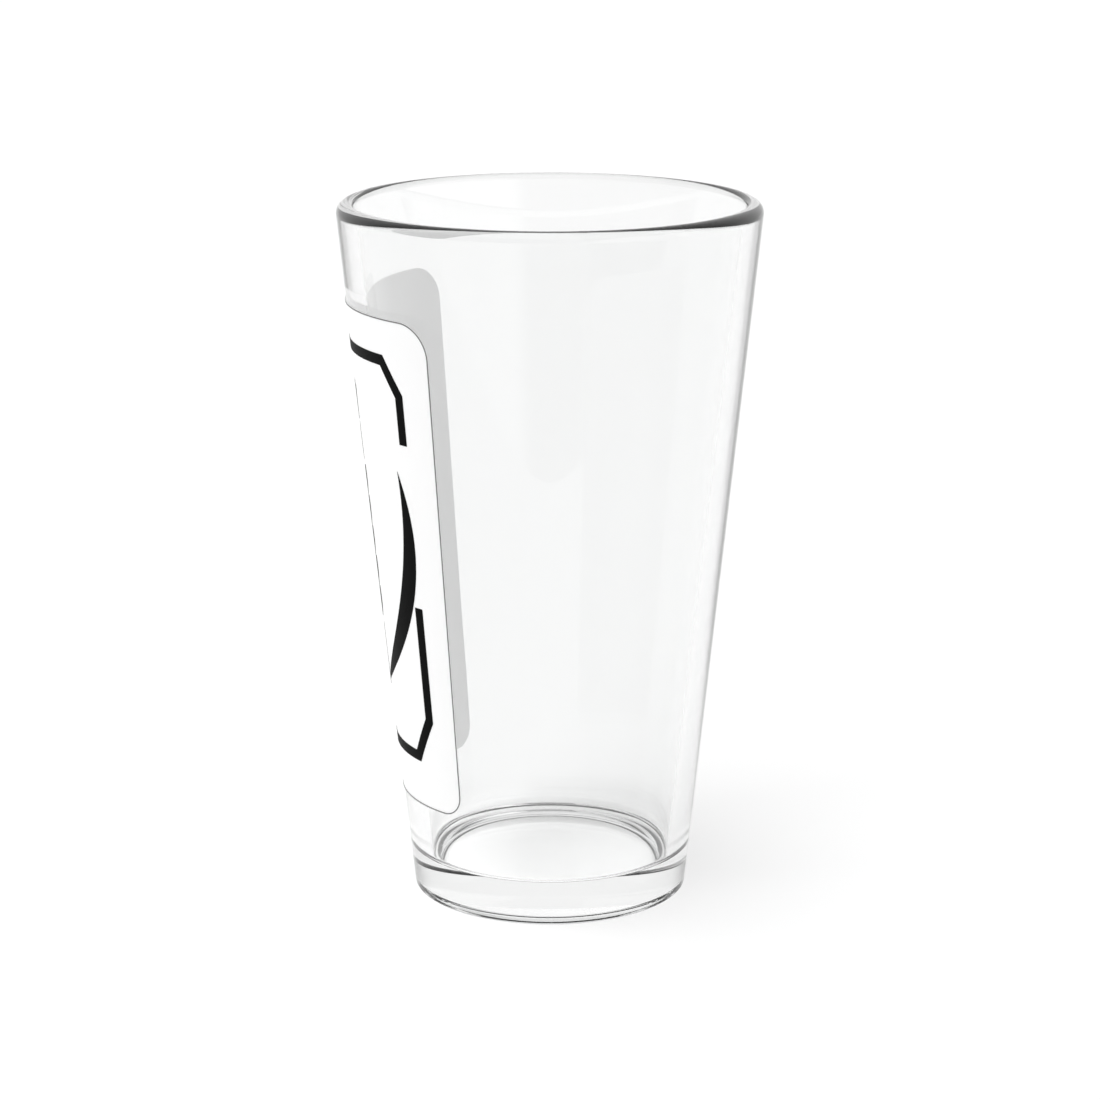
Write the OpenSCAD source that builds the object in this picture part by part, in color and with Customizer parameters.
// Pint glass with a wrapped white label.
// The artwork is a plain broken frame round an ear of barley with two leaves.
// Frame: +Z up, origin at the centre of the foot on the resting plane, label centred on -X.

/* [Glass] */
// Overall height, from the resting plane to the top of the lip
height = 149.2; // [140:0.1:160]
// Outer radius that the side would have at the resting plane
foot_r = 29.4; // [28:0.1:31]
// Outer radius that the side would have at the top of the lip
rim_r = 44.65; // [43:0.05:46]
// Radius of the lip's rounding on the outside
lip_outer_r = 2.2; // [1.8:0.1:2.4]
// Radius of the lip's rounding on the inside
lip_inner_r = 1.3; // [1:0.1:1.6]
// Height of the inside floor
floor_z = 9; // [8:0.1:14]
// Inside radius that the wall would have at the floor, without its fillet
floor_r = 26; // [24:0.1:26.5]
// Radius of the fillet between the inside wall and the floor
floor_fillet = 1.6; // [1:0.1:6]
// Radius of the rounded heel
heel_r = 0.9; // [0.6:0.1:3]
// Outer radius of the shallow recess underneath
punt_r = 24.6; // [22:0.1:25.5]
// Width of the rounded step between the recess and the ring it stands on
punt_step = 2.4; // [1.5:0.1:4]
// Depth of the recess
punt_depth = 0.8; // [0.5:0.1:1.5]

/* [Label] */
// Height of the panel's bottom edge
label_bottom = 22.7; // [18:0.1:28]
// Height of the panel's top edge
label_top = 129; // [126:0.1:134]
// Half of the angle that the panel wraps round the glass
label_half_angle = 52.8; // [50:0.1:60]
// Thickness of the film
film_t = 0.15; // [0.1:0.01:0.3]
// Corner radius at the top
top_corner_r = 7; // [4:0.5:9]
// Corner radius at the bottom
bottom_corner_r = 4.8; // [3:0.1:7]
// Width of the fine line round the panel's edge
keyline_w = 0.25; // [0.2:0.05:0.6]
// Thickness of the ink
ink_t = 0.08; // [0.06:0.01:0.15]

/* [Artwork] */
// Width of the frame's lines
line_w = 2.3; // [1.5:0.1:3]
// Height of the middle of the frame's top line
frame_top = 120.2; // [117:0.1:121]
// Height of the middle of the frame's bottom line
frame_bottom = 34; // [31:0.1:38]
// Angle from the panel's middle to the frame's sides
frame_half_angle = 40.3; // [39:0.1:43]
// Height at which the frame's upper sides end
gap_top = 103; // [100:0.5:108]
// Height at which the frame's lower sides end
gap_bottom = 68; // [56:0.5:70]
// Height of the ear's lowest kernels
ear_z = 64; // [62:0.5:66]
// Number of pairs of kernels
kernel_pairs = 5; // [3:1:5]
// Length of a kernel
kernel_l = 8.6; // [7:0.1:8.8]
// Width of a kernel
kernel_w = 4; // [3:0.1:4]
// Lean of a kernel away from the stem
kernel_lean = 26; // [24:1:30]
// Width of the stem
stem_w = 1.6; // [1:0.1:2]
// Width of an awn
awn_w = 0.8; // [0.5:0.1:1]

/* [Hidden] */
$fn = 256;

// The outside is a cone whose radius grows by side_slope for each millimetre of height.
side_slope = (rim_r - foot_r) / height;
side_length = norm([side_slope, 1]);
side_normal = [1, -side_slope] / side_length;
function side_r(z) = foot_r + side_slope * z;
// Centre of a circle of radius r at height z that touches the side from within.
function inside_side(z, r) = [side_r(z) - r * side_length, z];

// Every rounding stands this much proud of the faces it joins, so that it crosses them cleanly.
proud = 0.01;
heel_centre = inside_side(heel_r, heel_r);
// The lip is the outer half of a large circle and a smaller circle on its inside. Both are
// level with the top, and their centres stand apart so that they cross cleanly there.
lip_flat = 0.2;
lip_outer_centre = inside_side(height - lip_outer_r - proud, lip_outer_r);
lip_inner_centre = [lip_outer_centre.x - lip_flat, height - lip_inner_r - proud];

// The inside wall runs from the floor's corner to where it touches the lip's inner circle.
floor_corner = [floor_r, floor_z];
to_lip = lip_inner_centre - floor_corner;
wall_tilt = atan2(to_lip.x, to_lip.y) - asin(lip_inner_r / norm(to_lip));
wall_along = [sin(wall_tilt), cos(wall_tilt)];
lip_end = floor_corner + wall_along * sqrt(to_lip * to_lip - lip_inner_r * lip_inner_r);
fillet_run = floor_fillet * tan((90 - wall_tilt) / 2);
fillet_centre = [floor_r - fillet_run, floor_z + floor_fillet];

// The recess underneath is a flat pan, whose edge comes down to the ring in one arc.
punt_flat_r = punt_r - punt_step;
punt_edge_r = (punt_step * punt_step + punt_depth * punt_depth) / (2 * punt_depth);

// Offsets of the film's and the ink's outer faces from the glass, measured level.
film_face = film_t * side_length;
ink_face = film_face + ink_t * side_length;
// Cutters run from one of these radii to the other, so they pass through every face.
cut_near = 20;
cut_far = 60;
overlap = 1;
// A rounded corner's circle passes its two edges by this much, so it cuts them cleanly.
corner_bite = 0.1;

// The frame's corners are cut off by this much sideways and by these heights.
corner_run = 5;
top_corner_drop = 7;
bottom_corner_rise = 9;

// The ear's rows, tip and awns.
kernel_pitch = 6.6;
kernel_gap = 0.5;
tip_z = ear_z + kernel_pairs * kernel_pitch + 1.5;
awn_start = kernel_l / 2 + 1.2;
awn_l = 8;
awn_fan = 9;
stem_bottom = 45;
stem_top = ear_z - kernel_l / 2 - 1;

// A leaf is the crescent between two arcs on one chord.
leaf_angle = 18;
leaf_root = [-9.2, 46];
leaf_tip = [12.2, 97];
leaf_back = 11.2;
leaf_front = 6.7;

glass_colour = [0.93, 0.95, 0.96, 0.35];
film_colour = [0.97, 0.97, 0.97];
keyline_colour = [0.55, 0.56, 0.57];
ink_colour = [0.05, 0.05, 0.05];

// A sector of a thin cone between two offsets from the glass.
module wrap(near, far, bottom, top, half_angle)
    rotate([0, 0, -half_angle])
        rotate_extrude(angle = 2 * half_angle)
            polygon([
                [side_r(bottom) + near, bottom],
                [side_r(bottom) + far, bottom],
                [side_r(top) + far, top],
                [side_r(top) + near, top]
            ]);

// Pushes a flat shape, x round the glass and y up, outwards through the label.
module push_out(angle)
    rotate([0, 0, angle])
        rotate([90, 0, 90])
            translate([0, 0, cut_near])
                linear_extrude(cut_far - cut_near)
                    children();

// Repeats its children on the other side of the label's middle.
module both_sides() {
    children();
    mirror([0, 1, 0])
        children();
}

// What has to come off a square corner to round it, with the corner's centre at the origin.
module corner_waste(r)
    difference() {
        square(r + overlap);
        circle(r);
    }

// The panel, between two offsets from the glass, made smaller all round by inset.
module panel(near, far, inset) {
    bottom = label_bottom + inset;
    top = label_top - inset;
    low_r = bottom_corner_r - inset;
    high_r = top_corner_r - inset;
    half_angle = label_half_angle - inset / side_r((bottom + top) / 2) * 180 / PI;
    low_z = bottom + low_r - corner_bite;
    high_z = top - high_r + corner_bite;
    low_angle = half_angle - asin((low_r - corner_bite) / side_r(low_z));
    high_angle = half_angle - asin((high_r - corner_bite) / side_r(high_z));
    difference() {
        wrap(near, far, bottom, top, half_angle);
        both_sides() {
            push_out(high_angle)
                translate([0, high_z])
                    corner_waste(high_r);
            push_out(low_angle)
                translate([0, low_z])
                    mirror([0, 1])
                        corner_waste(low_r);
        }
    }
}

// Ink where its children are pushed through the film's outer face. It turns to face -X.
module printed()
    color(ink_colour)
        rotate([0, 0, 180])
            intersection() {
                wrap(film_face, ink_face, label_bottom, label_top, label_half_angle);
                children();
            }

// What lies past one side of the frame and past its cut corner, for a line grown by this much.
module past_side(level, corner_height, grow) {
    up = -sign(corner_height);
    outwards = up * [-corner_height, corner_run] / norm([corner_run, corner_height]);
    translate([grow, level - cut_far])
        square([cut_near, 2 * cut_far]);
    translate([0, level + corner_height] + grow * outwards)
        rotate(atan2(outwards.y, outwards.x))
            translate([0, -cut_near])
                square([cut_near, 2 * cut_near]);
}

// A thick piece of the wrap, filled out to the frame's line grown by this much.
module frame_block(level, corner_height, side_end, grow, reach) {
    up = -sign(corner_height);
    level_edge = level + up * grow;
    free_edge = side_end - up * (reach - overlap);
    difference() {
        wrap(-reach, reach, min(level_edge, free_edge), max(level_edge, free_edge), label_half_angle);
        both_sides()
            push_out(frame_half_angle)
                past_side(level, corner_height, grow);
    }
}

// One end of the frame: a level line, two cut corners, and sides that stop at a gap.
module frame_end(level, corner_height, side_end)
    difference() {
        frame_block(level, corner_height, side_end, line_w / 2, overlap);
        frame_block(level, corner_height, side_end, -line_w / 2, 2 * overlap);
    }

// A kernel: the overlap of two equal circles, pointed at both ends.
module kernel() {
    r = (kernel_l * kernel_l + kernel_w * kernel_w) / (4 * kernel_w);
    intersection() {
        translate([r - kernel_w / 2, 0])
            circle(r);
        translate([kernel_w / 2 - r, 0])
            circle(r);
    }
}

// A crescent from the origin up the y axis, bulging towards +x.
module leaf_shape(length) {
    back_r = (length * length / 4 + leaf_back * leaf_back) / (2 * leaf_back);
    front_r = (length * length / 4 + leaf_front * leaf_front) / (2 * leaf_front);
    difference() {
        translate([leaf_back - back_r, length / 2])
            circle(back_r);
        translate([leaf_front - front_r, length / 2])
            circle(front_r);
    }
}

module leaf_cutter() {
    along = leaf_tip - leaf_root;
    push_out(leaf_angle)
        translate(leaf_root)
            rotate(-atan2(along.x, along.y))
                leaf_shape(norm(along));
}

// The outline of the lip, in two roundings.
module lip_rounding() {
    intersection() {
        translate(lip_outer_centre)
            circle(lip_outer_r + proud);
        translate([lip_inner_centre.x, 0])
            square([rim_r, height + overlap]);
    }
    translate(lip_inner_centre)
        circle(lip_inner_r + proud);
}

// The outline of the recess, which is open below the resting plane.
module punt_outline() {
    translate([0, -overlap])
        square([punt_flat_r, punt_depth + overlap]);
    translate([punt_flat_r, punt_depth - punt_edge_r])
        circle(punt_edge_r + proud);
}

// One piece of glass: side wall, round lip, thick floor, round heel and the recess below.
module glass_body()
    color(glass_colour)
        rotate_extrude()
            difference() {
                union() {
                    polygon([
                        [0, 0],
                        [heel_centre.x, 0],
                        heel_centre + heel_r * side_normal,
                        lip_outer_centre + lip_outer_r * side_normal,
                        lip_outer_centre,
                        lip_inner_centre,
                        lip_end,
                        floor_corner + wall_along * fillet_run,
                        [fillet_centre.x, floor_z],
                        [0, floor_z]
                    ]);
                    translate(heel_centre)
                        circle(heel_r + proud);
                    lip_rounding();
                }
                translate(fillet_centre)
                    circle(floor_fillet + proud);
                punt_outline();
                translate([0, -overlap])
                    square([foot_r, overlap]);
            }

module label_film()
    color(film_colour)
        rotate([0, 0, 180])
            panel(0, film_face, 0);

module label_keyline()
    color(keyline_colour)
        rotate([0, 0, 180])
            difference() {
                panel(film_face, ink_face, 0);
                panel(film_face - overlap, ink_face + overlap, keyline_w);
            }

module frame_top_ink()
    printed()
        frame_end(frame_top, -top_corner_drop, gap_top);

module frame_bottom_ink()
    printed()
        frame_end(frame_bottom, bottom_corner_rise, gap_bottom);

module barley_stem_ink()
    printed()
        push_out(0)
            translate([-stem_w / 2, stem_bottom])
                square([stem_w, stem_top - stem_bottom]);

module barley_kernels_ink()
    printed()
        push_out(0) {
            for (row = [0:kernel_pairs - 1], side = [-1, 1])
                translate([side * (kernel_w / 2 + kernel_gap), ear_z + row * kernel_pitch])
                    rotate(-side * kernel_lean)
                        kernel();
            translate([0, tip_z])
                kernel();
        }

module barley_awns_ink()
    printed()
        push_out(0)
            for (i = [-2:2])
                translate([0, tip_z])
                    rotate(-i * awn_fan)
                        translate([-awn_w / 2, awn_start])
                            square([awn_w, awn_l]);

module leaf_left_ink()
    printed()
        mirror([0, 1, 0])
            leaf_cutter();

module leaf_right_ink()
    printed()
        leaf_cutter();

glass_body();
label_film();
label_keyline();
frame_top_ink();
frame_bottom_ink();
barley_stem_ink();
barley_kernels_ink();
barley_awns_ink();
leaf_left_ink();
leaf_right_ink();
